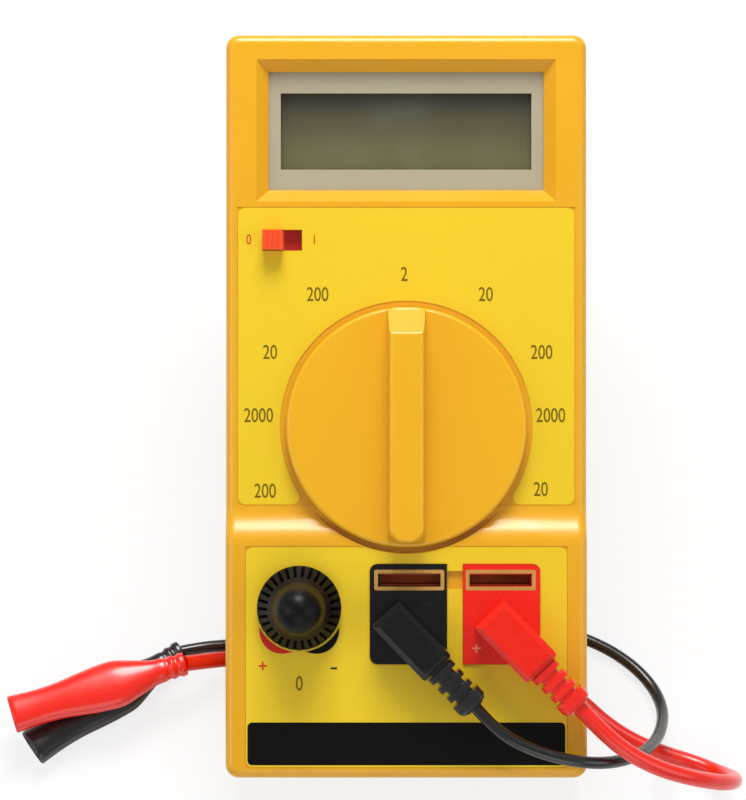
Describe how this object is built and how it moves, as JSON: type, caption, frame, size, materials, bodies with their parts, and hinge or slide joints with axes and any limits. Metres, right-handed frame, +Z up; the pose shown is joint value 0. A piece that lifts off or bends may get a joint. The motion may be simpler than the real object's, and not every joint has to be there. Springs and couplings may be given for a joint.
{
  "type": "capacitance meter",
  "caption": "Hand-held bench meter for capacitors with a rotary range selector, display, zero adjuster, component slots, tilt stand and plugged-in clip leads.",
  "frame": {"origin": "on the surface the meter stands on, under the middle of its case and stand", "axes": "+Z up, +X to the user's right along the case's width, +Y away from the user, up the tilted case"},
  "size_m": [0.185, 0.18, 0.1056],
  "materials": {
    "case": "satin moulded amber plastic",
    "label": "satin printed overlay",
    "bezel": "grey satin",
    "window": "clear acrylic",
    "lcd": "grey green display glass",
    "white_plastic": "natural nylon",
    "dark_rubber": "layered contact rubber",
    "board": "green solder mask",
    "chip": "black epoxy",
    "resistor": "tan lacquer",
    "capacitor": "dipped film",
    "blue_plastic": "blue moulding",
    "fuse_glass": "clear glass",
    "spring_metal": "phosphor bronze",
    "zinc": "zinc plated",
    "brass": "turned brass",
    "clip_metal": "nickel plated",
    "battery": "painted can",
    "black_plastic": "gloss black",
    "red_plastic": "gloss red",
    "switch_red": "gloss red",
    "wire": "vinyl insulation",
    "knob": "satin moulded orange plastic",
    "stand": "satin moulded amber plastic",
    "black_vinyl": "soft vinyl",
    "red_vinyl": "soft vinyl"
  },
  "bodies": {
    "root": {"adc_chip": "chip", "back_case": "case", "banana_jacks": "brass", "battery": "battery", "battery_door": "case", "battery_door_screw": "zinc", "battery_snap": "black_plastic", "battery_wires": "wire", "black_clip_base": "clip_metal", "black_clip_boot": "black_vinyl", "black_lead": "black_vinyl", "black_plug_body": "black_plastic", "black_strain_relief": "black_vinyl", "black_terminal_block": "black_plastic", "board_screws": "zinc", "case_screws": "zinc", "circuit_board": "board", "clip_pins": "clip_metal", "detent_spring": "spring_metal", "display_bezel": "bezel", "display_window": "window", "electrolytic_capacitors": "chip", "film_capacitors": "capacitor", "front_case": "case", "fuse_clips": "spring_metal", "glass_fuse": "fuse_glass", "jack_nuts": "zinc", "lcd_frame": "white_plastic", "lcd_glass": "lcd", "lower_label": "label", "op_amp_chips": "chip", "plug_pins": "brass", "pot_nut": "zinc", "potentiometer": "zinc", "red_clip_base": "clip_metal", "red_clip_boot": "red_vinyl", "red_lead": "red_vinyl", "red_plug_body": "red_plastic", "red_strain_relief": "red_vinyl", "red_terminal_block": "red_plastic", "resistors": "resistor", "slot_contacts": "spring_metal", "stand_pin": "zinc", "switch_frame": "black_plastic", "trimmers": "blue_plastic", "upper_label": "label", "zebra_strips": "dark_rubber"},
    "selector": {"selector_knob": "knob", "selector_rotor": "white_plastic", "wiper_contacts": "spring_metal", "rotor_clip": "spring_metal"},
    "zero_adjuster": {"zero_knob": "black_plastic", "pot_shaft": "zinc"},
    "switch_button": {"switch_slider": "switch_red"},
    "stand": {"tilt_stand": "stand"},
    "black_jaw": {"black_clip_jaw": "clip_metal"},
    "red_jaw": {"red_clip_jaw": "clip_metal"}
  },
  "joints": [
    {"name": "selector_turn", "type": "hinge", "parent": "root", "child": "selector", "pos_m": [0, -0.01113, 0.06588], "axis": [0, -0.4226, 0.9063], "range_deg": [-120, 120]},
    {"name": "zero_turn", "type": "hinge", "parent": "root", "child": "zero_adjuster", "pos_m": [-0.026, -0.0521, 0.05008], "axis": [0, -0.4226, 0.9063], "range_deg": [-135, 135]},
    {"name": "power_slide", "type": "slide", "parent": "root", "child": "switch_button", "axis": [1, 0, 0], "range_m": [0, 0.0044]},
    {"name": "stand_fold", "type": "hinge", "parent": "root", "child": "stand", "pos_m": [0, 0.0518, 0.06035], "axis": [-1, 0, 0], "range_deg": [0, 80]},
    {"name": "black_clip_open", "type": "hinge", "parent": "root", "child": "black_jaw", "pos_m": [-0.0752, -0.05865, 0.0037], "axis": [0, 0, 1], "range_deg": [0, 18], "stiffness_Nm_per_rad": 0.03, "springref_deg": -11.46, "deforming": ["black_clip_boot"]},
    {"name": "red_clip_open", "type": "hinge", "parent": "root", "child": "red_jaw", "pos_m": [-0.07677, -0.05865, 0.0108], "axis": [0, 0, 1], "range_deg": [0, 18], "stiffness_Nm_per_rad": 0.03, "springref_deg": -11.46, "deforming": ["red_clip_boot"]}
  ]
}
